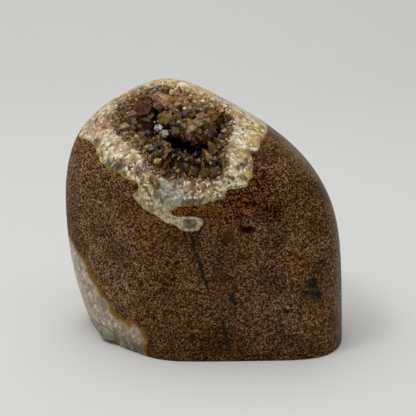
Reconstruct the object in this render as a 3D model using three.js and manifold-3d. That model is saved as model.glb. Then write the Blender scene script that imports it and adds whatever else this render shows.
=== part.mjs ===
// Polished geode of brown basalt with an open, crystal-lined hollow.
//
// Units are millimetres. +Z is up, the stone stands on its flat ground base at
// z = 0, and its broad face looks along -Y. The origin is the middle of the
// stone's footprint. Two solids make the object: the stone, ground and polished
// all round, and the crust of six-sided quartz crystals that grew in its hollow.

import * as THREE from 'three';
import { ConvexGeometry } from 'three/addons/geometries/ConvexGeometry.js';
import { ImprovedNoise } from 'three/addons/math/ImprovedNoise.js';
import { mergeVertices } from 'three/addons/utils/BufferGeometryUtils.js';
import Module from 'manifold-3d';

const wasm = await Module();
wasm.setup();

// ---------------------------------------------------------------- dimensions

// The stone is bounded by faces ground on a wheel. Each is given by its outward
// normal and its distance from the stone's heart. The polish rounds the ridges
// between them: a higher EDGE_CRISPNESS leaves sharper ridges.
const HEART = new THREE.Vector3(0, 0, 44);
const EDGE_CRISPNESS = 14;
const STONE_DETAIL = 9;
const GROUND_FACES = {
  front: { normal: [0.03, -1, 0.05], distance: 31 },
  frontLeft: { normal: [-0.60, -0.80, -0.02], distance: 37 },
  frontRight: { normal: [0.72, -0.69, 0.02], distance: 50 },
  window: { normal: [-0.06, -0.62, 0.78], distance: 38 },
  windowLeft: { normal: [-0.55, -0.50, 0.67], distance: 43 },
  windowRight: { normal: [0.45, -0.55, 0.70], distance: 45.5 },
  left: { normal: [-1, 0, 0.06], distance: 51 },
  lowLeft: { normal: [-0.93, -0.22, -0.28], distance: 52 },
  footLeft: { normal: [-0.62, -0.45, -0.64], distance: 57.6 },
  topLeft: { normal: [-0.56, 0.15, 0.82], distance: 53.5 },
  top: { normal: [-0.15, 0.15, 0.98], distance: 53.5 },
  topRight: { normal: [0.47, 0.15, 0.87], distance: 40 },
  highShoulder: { normal: [0.70, 0.08, 0.71], distance: 41 },
  lowShoulder: { normal: [0.91, 0.02, 0.41], distance: 45.5 },
  right: { normal: [1, 0, 0.03], distance: 49 },
  back: { normal: [0, 1, 0.05], distance: 31 },
  backLeft: { normal: [-0.7, 0.71, 0], distance: 44 },
  backRight: { normal: [0.7, 0.71, 0], distance: 43 },
  backTop: { normal: [0, 0.72, 0.69], distance: 47 },
  under: { normal: [0, 0, -1], distance: 62 },
};

// At the left foot the ground skin stops: a round agate nodule stands out of
// the stone there, and the edge beside it is broken away in shallow pits.
const NODULE = { centre: [-34.0, -13.6, 4.0], radius: 3.8 };
const FOOT_PITS = [
  { centre: [-31.0, -19.2, 0.1], radius: 2.2 },
  { centre: [-27.6, -22.7, 0.0], radius: 2.5 },
  { centre: [-24.1, -25.9, 0.1], radius: 2.1 },
];
const FOOT_DETAIL = 2;
const BASE_CUT_SIZE = 200;

// The hollow is three rounded chambers that run into one another: a wide
// shallow dish that opens through the window face, a cleft that goes down from
// its floor, and a pocket at its left end. half holds the half sizes across,
// along and out of the chamber, and tilt leans it towards the front. crystals
// is how many are set evenly over its wall, and tallest is how far the stem of
// the longest one stands out of the crust.
const CHAMBERS = [
  { centre: [-11.5, -14.0, 78.5], half: [21, 18, 8], tilt: 38.5, crystals: 56, tallest: 2.6 },
  { centre: [-8.5, -8.5, 65], half: [18, 10.5, 16], tilt: 20, crystals: 30, tallest: 1.2 },
  { centre: [-24, -5.5, 75], half: [9.5, 9, 11], tilt: 30, crystals: 18, tallest: 2.0 },
];
const CHAMBER_DETAIL = 3;
const WALL_LUMP_HEIGHT = 0.14;
const WALL_LUMP_SIZE = 9;

// The crust lines the hollow, and is ground flush with the window at its mouth.
const CRUST_THICKNESS = 2.4;
const CRUST_GAP = 0.3;

// A crystal is a six-sided stem that spreads towards its root and ends in a
// six-sided point. Heights and offsets given as shares are shares of its width.
const CRYSTAL_WIDTH = { min: 4.2, max: 6.6 };
const SHORTEST_STEM = 0.8;
const ROOT_DEPTH = 1.9;
const ROOT_SPREAD = 1.5;
const POINT_HEIGHT_SHARE = 0.62;
const POINT_OFFSET_SHARE = 0.2;
const CRYSTAL_LEAN = 0.25;
const LEAST_COVER = 0.8;
const CRYSTAL_SEED = 7;

const STONE_FINISH = { color: 0x5a4028, roughness: 0.25, metalness: 0 };
const CRYSTAL_FINISH = { color: 0x8a7257, roughness: 0.15, metalness: 0 };

// ------------------------------------------------------------ shared shaping

// A closed geometry as a solid that can be joined and cut.
function solidOf(geometry) {
  const bare = geometry.clone();
  bare.deleteAttribute('normal');
  bare.deleteAttribute('uv');
  const merged = mergeVertices(bare, 1e-4);
  return new wasm.Manifold(new wasm.Mesh({
    numProp: 3,
    vertProperties: new Float32Array(merged.attributes.position.array),
    triVerts: new Uint32Array(merged.index.array),
  }));
}

function geometryOf(solid) {
  const mesh = solid.getMesh();
  const geometry = new THREE.BufferGeometry();
  geometry.setAttribute('position', new THREE.BufferAttribute(mesh.vertProperties, 3));
  geometry.setIndex(new THREE.BufferAttribute(mesh.triVerts, 1));
  return geometry;
}

// A ball whose radius in each direction comes from radiusAt(direction).
function shapedBall(detail, radiusAt) {
  const geometry = new THREE.IcosahedronGeometry(1, detail);
  const position = geometry.attributes.position;
  const direction = new THREE.Vector3();
  for (let i = 0; i < position.count; i += 1) {
    direction.fromBufferAttribute(position, i).normalize();
    direction.multiplyScalar(radiusAt(direction));
    position.setXYZ(i, direction.x, direction.y, direction.z);
  }
  return geometry;
}

// --------------------------------------------------------------------- stone

const groundFaces = Object.values(GROUND_FACES).map(({ normal, distance }) => ({
  normal: new THREE.Vector3(...normal).normalize(),
  distance,
}));

// The distance from the heart to the polished skin in one direction.
function skinRadius(direction) {
  let sum = 0;
  for (const { normal, distance } of groundFaces) {
    const facing = Math.max(0, normal.dot(direction)) / distance;
    sum += facing ** EDGE_CRISPNESS;
  }
  return sum ** (-1 / EDGE_CRISPNESS);
}

// How far a point lies below the skin, along the line from the heart.
function depthInStone(point) {
  const outward = point.clone().sub(HEART);
  const reach = outward.length();
  return skinRadius(outward.divideScalar(reach)) - reach;
}

// The stone before its hollow is opened: ground all round, and flat below.
function makeBlank() {
  const body = shapedBall(STONE_DETAIL, skinRadius);
  body.translate(HEART.x, HEART.y, HEART.z);
  const below = new THREE.BoxGeometry(BASE_CUT_SIZE, BASE_CUT_SIZE, BASE_CUT_SIZE);
  below.translate(0, 0, -BASE_CUT_SIZE / 2);
  return solidOf(body).subtract(solidOf(below));
}

function footBall({ centre, radius }) {
  return solidOf(shapedBall(FOOT_DETAIL, () => radius).translate(...centre));
}

function makeStone(blank) {
  const pits = wasm.Manifold.union(FOOT_PITS.map(footBall));
  return blank.subtract(pits).add(footBall(NODULE)).subtract(makeHollow(0));
}

// -------------------------------------------------------------------- hollow

const noise = new ImprovedNoise();

// Where a chamber stands in the stone and how it leans.
function chamberPlace({ centre, tilt }) {
  const place = new THREE.Matrix4().makeRotationX(THREE.MathUtils.degToRad(tilt));
  return place.setPosition(...centre);
}

// The distance from a chamber's centre to its lumpy wall, less an inset.
function wallRadius({ centre, half }, direction, inset) {
  const [x, y, z] = half;
  const plain = 1 / Math.hypot(direction.x / x, direction.y / y, direction.z / z);
  const at = direction.clone().multiplyScalar(plain / WALL_LUMP_SIZE);
  const lump = noise.noise(at.x + centre[0], at.y + centre[1], at.z + centre[2]);
  return plain * (1 + WALL_LUMP_HEIGHT * lump) - inset;
}

function makeHollow(inset) {
  const chambers = CHAMBERS.map((chamber) => {
    const ball = shapedBall(CHAMBER_DETAIL, (direction) => wallRadius(chamber, direction, inset));
    return solidOf(ball.applyMatrix4(chamberPlace(chamber)));
  });
  return wasm.Manifold.union(chambers);
}

function isInChamber(point, chamber, inset) {
  const local = point.clone().applyMatrix4(chamberPlace(chamber).invert());
  const reach = local.length();
  return reach < wallRadius(chamber, local.divideScalar(reach), inset);
}

// ------------------------------------------------------------------ crystals

const crustInset = CRUST_GAP + CRUST_THICKNESS;

// Numbers from 0 to 1 in a fixed order, so that each build gives one shape.
function numberStream(seed) {
  let state = seed;
  return () => {
    state = (state * 1664525 + 1013904223) % 4294967296;
    return state / 4294967296;
  };
}

// One crystal along +Z, with its root below the origin.
function crystalGeometry(width, stem, pointOffset) {
  const corners = [];
  for (let i = 0; i < 6; i += 1) {
    const angle = (i * Math.PI) / 3;
    const x = Math.cos(angle) * width / 2;
    const y = Math.sin(angle) * width / 2;
    corners.push(new THREE.Vector3(x * ROOT_SPREAD, y * ROOT_SPREAD, -ROOT_DEPTH));
    corners.push(new THREE.Vector3(x, y, stem));
  }
  corners.push(new THREE.Vector3(pointOffset, 0, stem + width * POINT_HEIGHT_SHARE));
  return new ConvexGeometry(corners);
}

// Directions spread evenly over a ball, from its top to its bottom.
function evenDirections(count) {
  const goldenAngle = Math.PI * (3 - Math.sqrt(5));
  return Array.from({ length: count }, (_, i) => {
    const height = 1 - (2 * (i + 0.5)) / count;
    const ring = Math.sqrt(1 - height * height);
    return new THREE.Vector3(ring * Math.cos(i * goldenAngle), ring * Math.sin(i * goldenAngle), height);
  });
}

// The direction square to a chamber's wall and into its open space.
function inwardNormal({ half }, direction) {
  const [x, y, z] = half;
  return new THREE.Vector3(-direction.x / x ** 2, -direction.y / y ** 2, -direction.z / z ** 2);
}

// A crystal stands only where its foot is covered by the stone and isn't in
// the open space of another chamber.
function hasGround(foot, chamber) {
  const others = CHAMBERS.filter((other) => other !== chamber);
  const isOpen = others.some((other) => isInChamber(foot, other, crustInset));
  return !isOpen && depthInStone(foot) > LEAST_COVER;
}

function chamberCrystals(chamber, random) {
  const up = new THREE.Vector3(0, 0, 1);
  const place = chamberPlace(chamber);
  const between = (least, most) => least + (most - least) * random();
  const crystals = [];
  for (const direction of evenDirections(chamber.crystals)) {
    const width = between(CRYSTAL_WIDTH.min, CRYSTAL_WIDTH.max);
    const stem = between(SHORTEST_STEM, chamber.tallest);
    const pointOffset = between(-POINT_OFFSET_SHARE, POINT_OFFSET_SHARE) * width;
    const turn = between(0, Math.PI);
    const lean = new THREE.Vector3(...[0, 1, 2].map(() => between(-CRYSTAL_LEAN, CRYSTAL_LEAN)));
    const foot = direction.clone().multiplyScalar(wallRadius(chamber, direction, crustInset));
    foot.applyMatrix4(place);
    if (hasGround(foot, chamber)) {
      const growth = inwardNormal(chamber, direction).normalize().transformDirection(place);
      growth.add(lean).normalize();
      const crystal = crystalGeometry(width, stem, pointOffset).rotateZ(turn);
      crystal.applyQuaternion(new THREE.Quaternion().setFromUnitVectors(up, growth));
      crystals.push(solidOf(crystal.translate(foot.x, foot.y, foot.z)));
    }
  }
  return crystals;
}

function makeCrust(blank) {
  const room = makeHollow(CRUST_GAP).intersect(blank);
  const shell = room.subtract(makeHollow(crustInset));
  const random = numberStream(CRYSTAL_SEED);
  const crystals = CHAMBERS.flatMap((chamber) => chamberCrystals(chamber, random));
  return shell.add(wasm.Manifold.union(crystals).intersect(room));
}

// ------------------------------------------------------------------ assembly

function namedMesh(name, solid, finish) {
  const mesh = new THREE.Mesh(geometryOf(solid), new THREE.MeshStandardMaterial(finish));
  mesh.name = name;
  return mesh;
}

const blank = makeBlank();
const stone = makeStone(blank);
const { min, max } = stone.boundingBox();

const amethyst = new THREE.Group();
amethyst.add(namedMesh('polished_stone', stone, STONE_FINISH));
amethyst.add(namedMesh('crystal_crust', makeCrust(blank), CRYSTAL_FINISH));
amethyst.position.set(-(min[0] + max[0]) / 2, -(min[1] + max[1]) / 2, 0);

const centredAmethyst = new THREE.Group();
centredAmethyst.add(amethyst);

export default centredAmethyst;
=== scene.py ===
"""A polished basalt geode that stands on its ground base, with smoky amethyst in its hollow."""

import math
import random

import bpy
import numpy as np
from mathutils import Matrix, Vector, noise


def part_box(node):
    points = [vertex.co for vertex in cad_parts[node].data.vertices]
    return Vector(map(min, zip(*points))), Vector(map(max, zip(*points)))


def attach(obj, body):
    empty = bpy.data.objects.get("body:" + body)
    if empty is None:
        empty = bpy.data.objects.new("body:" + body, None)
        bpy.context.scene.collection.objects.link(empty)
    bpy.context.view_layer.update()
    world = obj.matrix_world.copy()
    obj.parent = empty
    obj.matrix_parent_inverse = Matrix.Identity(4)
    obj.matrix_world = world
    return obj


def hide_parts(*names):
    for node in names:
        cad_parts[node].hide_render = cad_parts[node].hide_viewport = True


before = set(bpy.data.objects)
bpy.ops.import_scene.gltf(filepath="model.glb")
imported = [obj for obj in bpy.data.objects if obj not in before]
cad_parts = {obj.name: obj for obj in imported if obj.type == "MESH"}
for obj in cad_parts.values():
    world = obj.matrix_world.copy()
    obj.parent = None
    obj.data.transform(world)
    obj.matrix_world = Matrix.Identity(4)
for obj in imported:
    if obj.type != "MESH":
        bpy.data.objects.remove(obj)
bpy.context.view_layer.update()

# ------------------------------------------------------------------ the studio
# The stone stands on a sweep of white paper that runs up behind it, in a pale
# room. A wide soft box hangs overhead to the left, with a small bright one.

MM = 0.001
CAMERA_RISE = math.radians(16)
CAMERA_REACH = 0.450
CAMERA_LENS = 107.9
AIM_RIGHT = 1.26 * MM
AIM_UP = 0.15 * MM
PAPER_WHITE = (0.80, 0.80, 0.775, 1)
ROOM_GREY = (0.95, 0.97, 1.0, 1)
ROOM_STRENGTH = 0.27
SOFT_BOXES = {
    "wide_soft_box": {"place": (-0.12, -0.03, 0.95), "side": 1.3, "watts": 7.0},
    "small_bright_box": {"place": (-0.30, -0.25, 0.75), "side": 0.13, "watts": 0.85},
}

stone_low, stone_high = (Vector(corner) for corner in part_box("polished_stone"))
stone_middle = (stone_low + stone_high) / 2


def deselect_all():
    bpy.ops.object.select_all(action="DESELECT")


def aim(thing, target):
    thing.rotation_euler = (target - thing.location).to_track_quat("-Z", "Y").to_euler()


camera = bpy.data.objects.new("camera", bpy.data.cameras.new("camera"))
bpy.context.collection.objects.link(camera)
camera_aim = Vector((stone_middle.x + AIM_RIGHT, 0, stone_middle.z + AIM_UP))
camera.location = camera_aim + CAMERA_REACH * Vector((0, -math.cos(CAMERA_RISE), math.sin(CAMERA_RISE)))
camera.data.lens = CAMERA_LENS
camera.data.clip_start = 0.01
aim(camera, camera_aim)
bpy.context.scene.camera = camera
bpy.context.scene.view_settings.view_transform = "Standard"

for name, box in SOFT_BOXES.items():
    lamp = bpy.data.objects.new(name, bpy.data.lights.new(name, "AREA"))
    bpy.context.collection.objects.link(lamp)
    lamp.data.size = box["side"]
    lamp.data.energy = box["watts"]
    lamp.location = box["place"]
    aim(lamp, stone_middle)

room = bpy.data.worlds.new("room")
room.use_nodes = True
room.node_tree.nodes["Background"].inputs["Color"].default_value = ROOM_GREY
room.node_tree.nodes["Background"].inputs["Strength"].default_value = ROOM_STRENGTH
bpy.context.scene.world = room

deselect_all()
bpy.ops.mesh.primitive_plane_add(size=2.4, location=(0, -0.3, 0))
paper = bpy.context.object
paper.name = "paper_sweep"
bpy.ops.object.transform_apply(location=True)
bpy.ops.object.mode_set(mode="EDIT")
bpy.ops.mesh.select_all(action="DESELECT")
bpy.ops.object.mode_set(mode="OBJECT")
for edge in paper.data.edges:
    edge.select = all(paper.data.vertices[i].co.y > 0.5 for i in edge.vertices)
bpy.ops.object.mode_set(mode="EDIT")
bpy.ops.mesh.select_mode(type="EDGE")
bpy.ops.mesh.extrude_region_move(TRANSFORM_OT_translate={"value": (0, 0, 1.2)})
bpy.ops.object.mode_set(mode="OBJECT")
bend = paper.modifiers.new("bend", "BEVEL")
bend.width = 0.45
bend.segments = 16
bend.limit_method = "ANGLE"
bpy.ops.object.modifier_apply(modifier="bend")
bpy.ops.object.shade_smooth()
paper_white = bpy.data.materials.new("white_paper")
paper_white.use_nodes = True
paper_white.node_tree.nodes["Principled BSDF"].inputs["Base Color"].default_value = PAPER_WHITE
paper_white.node_tree.nodes["Principled BSDF"].inputs["Roughness"].default_value = 0.85
paper.data.materials.append(paper_white)

# ------------------------------------------------------------------- the stone
# One lump of fine brown basalt with a lining of pale quartz, ground on a wheel
# to rounded faces, polished all round and ground flat below. Each face is its
# outward direction and its distance in millimetres from the stone's heart.

HEART = Vector((-0.14, -0.03, 44.0)) * MM
EDGE_CRISPNESS = 14
GROUND_FACES = {
    "front": ((0.03, -1, 0.05), 31),
    "front left": ((-0.60, -0.80, -0.02), 37),
    "front right": ((0.72, -0.69, 0.02), 50),
    "window": ((-0.06, -0.62, 0.78), 38),
    "window left": ((-0.55, -0.50, 0.67), 43),
    "window right": ((0.45, -0.55, 0.70), 45.5),
    "left": ((-1, 0, 0.06), 51),
    "low left": ((-0.93, -0.22, -0.28), 52),
    "foot left": ((-0.62, -0.45, -0.64), 57.6),
    "top left": ((-0.56, 0.15, 0.82), 53.5),
    "top": ((-0.15, 0.15, 0.98), 53.5),
    "top right": ((0.47, 0.15, 0.87), 40),
    "high shoulder": ((0.70, 0.08, 0.71), 41),
    "low shoulder": ((0.91, 0.02, 0.41), 45.5),
    "right": ((1, 0, 0.03), 49),
    "back": ((0, 1, 0.05), 31),
    "back left": ((-0.7, 0.71, 0), 44),
    "back right": ((0.7, 0.71, 0), 43),
    "back top": ((0, 0.72, 0.69), 47),
    "under": ((0, 0, -1), 62),
}
BASE_CHAMFER = 0.4 * MM
BASE_INSET = 0.990
BASE_RINGS = 9

# The lining shows on the skin as a pale rim round the hollow, with a tail that
# runs down the front. The outlines below are drawn on the skin as seen from
# the heart: degrees to the right of the window's middle, and degrees above it.

WINDOW_WAY = Vector((-0.06, -0.62, 0.78)).normalized()
MM_PER_DEGREE = 0.73
RIM_OUTLINE = (
    (-60, 31), (-58, 24), (-54.5, 20), (-51.5, 14), (-51, 10), (-50, 5), (-47.5, 0.5), (-44.5, -3.5),
    (-41.5, -6), (-37.5, -11), (-34.5, -13), (-32, -14.8), (-31, -17.3), (-33, -19.5), (-35.5, -20),
    (-35, -22.6), (-33.3, -25.5), (-31.4, -29.2), (-26.2, -33.6), (-21.6, -38.6), (-15.7, -41.7),
    (-12.8, -44.4), (-6.9, -46.3), (-2, -46), (0.8, -44.1), (2.2, -42), (1.7, -39.8), (-0.5, -38.3), (-7.5, -37.2),
    (-13.5, -36.6), (-16, -35), (-17.9, -32.7), (-15.6, -32.2), (-13, -31.2), (-6, -30.8), (2.4, -30.5),
    (6.7, -28.8), (12.4, -27.5), (15.3, -26), (15.5, -23.7), (18, -21.5), (21, -21.5), (26.4, -19.3),
    (26.5, -17), (28, -15), (27.4, -12), (27.5, -8.8), (25.4, -3.6), (23.7, -1.9), (26, -2.1),
    (28.5, -2), (30, 1.2), (30.3, 5), (32.3, 7.7), (34.7, 13.3), (36.5, 21), (40, 35), (40, 50),
    (28, 58), (5, 61), (-15, 58), (-36, 50), (-52, 41),
)
MOUTH_OUTLINE = (
    (-42, 27), (-39, 34.5), (-34, 39), (-24.5, 39.5), (-17.5, 40.5), (-8, 38), (0.5, 34.6),
    (9.5, 30.5), (16, 24), (17.5, 14.8), (15.6, 4.6), (14.4, -4.4), (15.2, -11.5), (9, -17.2),
    (1.3, -17.4), (-6.5, -16.6), (-14, -16), (-20, -14), (-24.5, -8.5), (-28, -0.5), (-33.5, 8.3),
    (-40, 17.6),
)

# Its crystals grew in towards the mouth, so their streaks fan out from there.

MOUTH_MIDDLE = (-12.0, 12.0)
FAN_RADIUS = 24.0
FAN_STRETCH = 0.35

# A second body of quartz shows at the lower left. Its upper edge is drawn as
# degrees round the upright axis and millimetres above the base.

CORNER_OUTLINE = (
    (-127, -14), (-127, 1.8), (-126, 4), (-124.2, 5.5), (-124.4, 6.7), (-126.5, 8), (-128.1, 9.7),
    (-130.2, 11), (-133.1, 11.8), (-135, 10.8), (-138.6, 10.9), (-141.3, 11.7), (-144.9, 12.1),
    (-147.5, 13.9), (-148.8, 15.9), (-150.8, 17.4), (-153.9, 18.7), (-155.2, 20.7), (-157, 22.5),
    (-159.3, 24.6), (-161.1, 26.7), (-162.3, 29), (-164.1, 30.5), (-168.9, 33.8), (-172.4, 35.7),
    (-180, 36), (-190, 33), (-196, 27), (-203, 20), (-209, 16), (-214, 8), (-216, -14),
)
MM_ROUND = 0.78

# Millimetres below the skin. A rough mound of crystals stands in the hollow's
# back half, with a moat round its near side, a deep cleft under it, and dark
# crevices between it and the crystals on each side.

BOWL_DEPTH = 4.8
BOWL_SLOPE = 7.0
LIP_DEPTH = 0.9
LIP_SPAN = (-2.2, 1.0)
MOUND_MIDDLE = (-1.0, 20.5)
MOUND_HALF = (14.0, 11.0)
MOUND_TOP = 2.4
MOUND_EDGE = 1.8
MOAT_DEPTH = 9.0
MOAT_PLACE = 1.22
MOAT_WIDTH = 0.2
CREVICES = (
    {"place": (-23.6, 32.5), "half": (2.2, 7.0), "depth": 8.0},
    {"place": (-25.0, 20.4), "half": (4.6, 2.6), "depth": 7.0},
    {"place": (11.4, 17.6), "half": (3.0, 4.8), "depth": 9.0},
)
CLEFT = {"centre": (-5.6, -9.2, 64.2), "half": (11.8, 8.2, 12.6), "tilt": 20}
WALL_LUMPS = ((9.0, 0.9), (3.2, 0.55), (1.4, 0.3))
NODULE = {"centre": (-34.1, -13.9, 3.8), "half": (5.7, 2.8, 3.3), "tilt": -16, "turn": -54}
FOOT_PITS = (
    ((-31.0, -19.4, -0.3), 1.6),
    ((-29.4, -21.2, -0.6), 1.6),
    ((-27.6, -22.9, -0.4), 1.7),
    ((-25.9, -24.6, -0.6), 1.6),
    ((-24.1, -26.1, -0.2), 1.5),
)


heart = np.array(HEART)
face_normals = np.array([normal for normal, _ in GROUND_FACES.values()], float)
face_normals /= np.linalg.norm(face_normals, axis=1)[:, None]
face_distances = np.array([distance for _, distance in GROUND_FACES.values()]) * MM
window_way = np.array(WINDOW_WAY)
window_right = np.array((Vector((1, 0, 0)) - WINDOW_WAY * WINDOW_WAY.x).normalized())
window_up = np.cross(window_way, window_right)


def skin_radius(ways):
    """The distance from the heart to the polished skin, for each direction."""
    facing = np.maximum(ways @ face_normals.T, 0) / face_distances
    return (facing**EDGE_CRISPNESS).sum(axis=1) ** (-1 / EDGE_CRISPNESS)


def split_from_heart(points):
    """Each point's direction from the heart, and its distance."""
    outward = points - heart
    reach = np.linalg.norm(outward, axis=1)
    return outward / reach[:, None], reach


def on_window_map(ways):
    """Degrees right of the window's middle and above it, for each direction."""
    tilt = np.degrees(np.arccos(np.clip(ways @ window_way, -1, 1)))
    right = ways @ window_right
    up = ways @ window_up
    size = np.maximum(np.hypot(right, up), 1e-9)
    return np.stack((tilt * right / size, tilt * up / size), axis=1)


def flowing_line(corners, steps=6):
    """A closed smooth line through the corners."""
    corners = np.array(corners, float)
    before, after, beyond = (np.roll(corners, shift, axis=0) for shift in (1, -1, -2))
    line = []
    for step in range(steps):
        t = step / steps
        line.append(
            0.5 * (2 * corners + (after - before) * t
                   + (2 * before - 5 * corners + 4 * after - beyond) * t * t
                   + (3 * corners - 3 * after + beyond - before) * t**3)
        )
    return np.stack(line, axis=1).reshape(-1, 2)


def inside_distance(places, line):
    """The distance from each place to a closed line, positive inside it."""
    starts = line
    runs = np.roll(line, -1, axis=0) - starts
    nearest = np.full(len(places), 1e9)
    inside = np.zeros(len(places), bool)
    x, y = places[:, 0], places[:, 1]
    for (x0, y0), (dx, dy) in zip(starts, runs):
        along = np.clip(((x - x0) * dx + (y - y0) * dy) / (dx * dx + dy * dy), 0, 1)
        nearest = np.minimum(nearest, (x - x0 - along * dx) ** 2 + (y - y0 - along * dy) ** 2)
        crosses = (y0 > y) != (y0 + dy > y)
        if dy:
            inside ^= crosses & (x < x0 + (y - y0) * dx / dy)
    return np.where(inside, 1, -1) * np.sqrt(nearest)


def ease(values, low, high):
    """Rises smoothly from 0 at low to 1 at high."""
    t = np.clip((values - low) / (high - low), 0, 1)
    return t * t * (3 - 2 * t)


def lumps_at(points, sizes_and_heights):
    """The sum of some soft lumps at each point, in millimetres."""
    total = np.zeros(len(points))
    for size, height in sizes_and_heights:
        total += height * np.array([noise.noise(Vector(point) / (size * MM)) for point in points])
    return total


def points_of(thing):
    points = np.empty(len(thing.data.vertices) * 3)
    thing.data.vertices.foreach_get("co", points)
    return points.reshape(-1, 3)


def place_points(thing, points):
    thing.data.vertices.foreach_set("co", np.ascontiguousarray(points, float).ravel())
    thing.data.update()


def off_mound(places):
    """How far each place is from the mound's middle, as a share of its size, and how far above it."""
    share = (places - MOUND_MIDDLE) / MOUND_HALF
    return np.hypot(share[:, 0], share[:, 1]), share[:, 1]


def crevice_depth(places, mouth):
    """How much deeper the moat and the crevices are than the floor, in millimetres."""
    off, above = off_mound(places)
    extra = MOAT_DEPTH * np.exp(-(((off - MOAT_PLACE) / MOAT_WIDTH) ** 2)) * (1 - ease(above, 0.05, 0.85))
    for crevice in CREVICES:
        share = (places - crevice["place"]) / crevice["half"]
        extra += crevice["depth"] * np.exp(-(share**2).sum(axis=1))
    return extra * ease(mouth, 0.8, 3.8)


def hollow_depth(places, mouth, lumps):
    """How far below the skin the hollow's floor lies, in millimetres."""
    bowl = BOWL_DEPTH * ease(mouth, -0.6, BOWL_SLOPE) + LIP_DEPTH * ease(mouth + lumps, *LIP_SPAN)
    off = off_mound(places)[0] + 0.05 * lumps
    dome = MOUND_TOP + MOUND_EDGE * off**2
    on_mound = (1 - ease(off, 0.86, 1.08)) * ease(mouth, 0, 2.5)
    floor = bowl * (1 - on_mound) + dome * on_mound
    return floor + crevice_depth(places, mouth) + lumps * ease(mouth, -1.0, 2)


def new_ball(name, subdivisions):
    deselect_all()
    bpy.ops.mesh.primitive_ico_sphere_add(subdivisions=subdivisions, radius=1)
    ball = bpy.context.object
    ball.name = name
    return ball


def lumpy_ball(name, subdivisions, centre, half, tilt, lumps, turn=0):
    """A leaning rounded lump, in millimetres, with bumps of each size and height in lumps."""
    ball = new_ball(name, subdivisions)
    turn = Matrix.Rotation(math.radians(turn), 3, "Z") @ Matrix.Rotation(math.radians(tilt), 3, "X")
    middle = Vector(centre) * MM + Vector((HEART.x, HEART.y, 0))
    for vertex in ball.data.vertices:
        way = vertex.co.normalized()
        reach = 1 / Vector((way.x / half[0], way.y / half[1], way.z / half[2])).length
        spot = way * reach
        for size, height in lumps:
            reach += height * noise.noise(spot / size + Vector(centre))
        vertex.co = middle + turn @ (way * reach * MM)
    return ball


def join_shapes(thing, tool, operation):
    """Cuts a tool's shape out of a thing, or fuses it on, and removes the tool."""
    deselect_all()
    bpy.context.view_layer.objects.active = thing
    thing.select_set(True)
    change = thing.modifiers.new("change", "BOOLEAN")
    change.operation = operation
    change.solver = "EXACT"
    change.object = tool
    bpy.ops.object.modifier_apply(modifier="change")
    bpy.data.objects.remove(tool)


stone = new_ball("polished_geode", 7)
ways = points_of(stone)
ways /= np.linalg.norm(ways, axis=1)[:, None]
place_points(stone, heart + ways * skin_radius(ways)[:, None])

# The flat base: a small crisp chamfer, then rings of faces in to the middle.
bpy.ops.object.mode_set(mode="EDIT")
bpy.ops.mesh.select_all(action="SELECT")
bpy.ops.mesh.bisect(plane_co=(0, 0, BASE_CHAMFER), plane_no=(0, 0, 1), clear_inner=True,
                    threshold=0.001 * MM)
bpy.ops.mesh.extrude_region_move(TRANSFORM_OT_translate={"value": (0, 0, -BASE_CHAMFER)})
bpy.ops.transform.resize(value=(BASE_INSET, BASE_INSET, 1), center_override=(0, 0, 0))
for ring in range(BASE_RINGS, 1, -1):
    inward = (ring - 1) / ring
    bpy.ops.mesh.extrude_region_move(TRANSFORM_OT_translate={"value": (0, 0, 0)})
    bpy.ops.transform.resize(value=(inward, inward, 1), center_override=(0, 0, 0))
bpy.ops.mesh.edge_face_add()
bpy.ops.object.mode_set(mode="OBJECT")

# The hollow: its faces are made smaller, then pressed in towards the heart.
mouth_line = flowing_line(MOUTH_OUTLINE) * MM_PER_DEGREE
for _ in range(1):
    ways, reach = split_from_heart(points_of(stone))
    mouth = inside_distance(on_window_map(ways) * MM_PER_DEGREE, mouth_line)
    bpy.ops.object.mode_set(mode="EDIT")
    bpy.ops.mesh.select_all(action="DESELECT")
    bpy.ops.object.mode_set(mode="OBJECT")
    stone.data.polygons.foreach_set(
        "select", [all(mouth[i] > -4.0 for i in face.vertices) for face in stone.data.polygons]
    )
    bpy.ops.object.mode_set(mode="EDIT")
    bpy.ops.mesh.select_mode(type="FACE")
    bpy.ops.mesh.subdivide(number_cuts=1)
    bpy.ops.mesh.quads_convert_to_tris()
    bpy.ops.object.mode_set(mode="OBJECT")
points = points_of(stone)
ways, reach = split_from_heart(points)
places = on_window_map(ways)
mouth = inside_distance(places * MM_PER_DEGREE, mouth_line)
near = np.flatnonzero((mouth > -3.6) & (points[:, 2] > 0.03))
lumps = lumps_at(points[near], WALL_LUMPS)
sunk = hollow_depth(places[near], mouth[near], lumps) * MM
skin = skin_radius(ways[near]) - np.maximum(sunk, 0)
points[near] = heart + ways[near] * skin[:, None]
place_points(stone, points)
join_shapes(stone, lumpy_ball("cleft", 6, CLEFT["centre"], CLEFT["half"], CLEFT["tilt"], WALL_LUMPS), "DIFFERENCE")
nodule = lumpy_ball("nodule", 5, NODULE["centre"], NODULE["half"], NODULE["tilt"], ((3.0, 0.3),), NODULE["turn"])
join_shapes(stone, nodule, "UNION")
for centre, radius in FOOT_PITS:
    join_shapes(stone, lumpy_ball("pit", 4, centre, (radius,) * 3, 0, ((1.5, 0.5),)), "DIFFERENCE")

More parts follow.
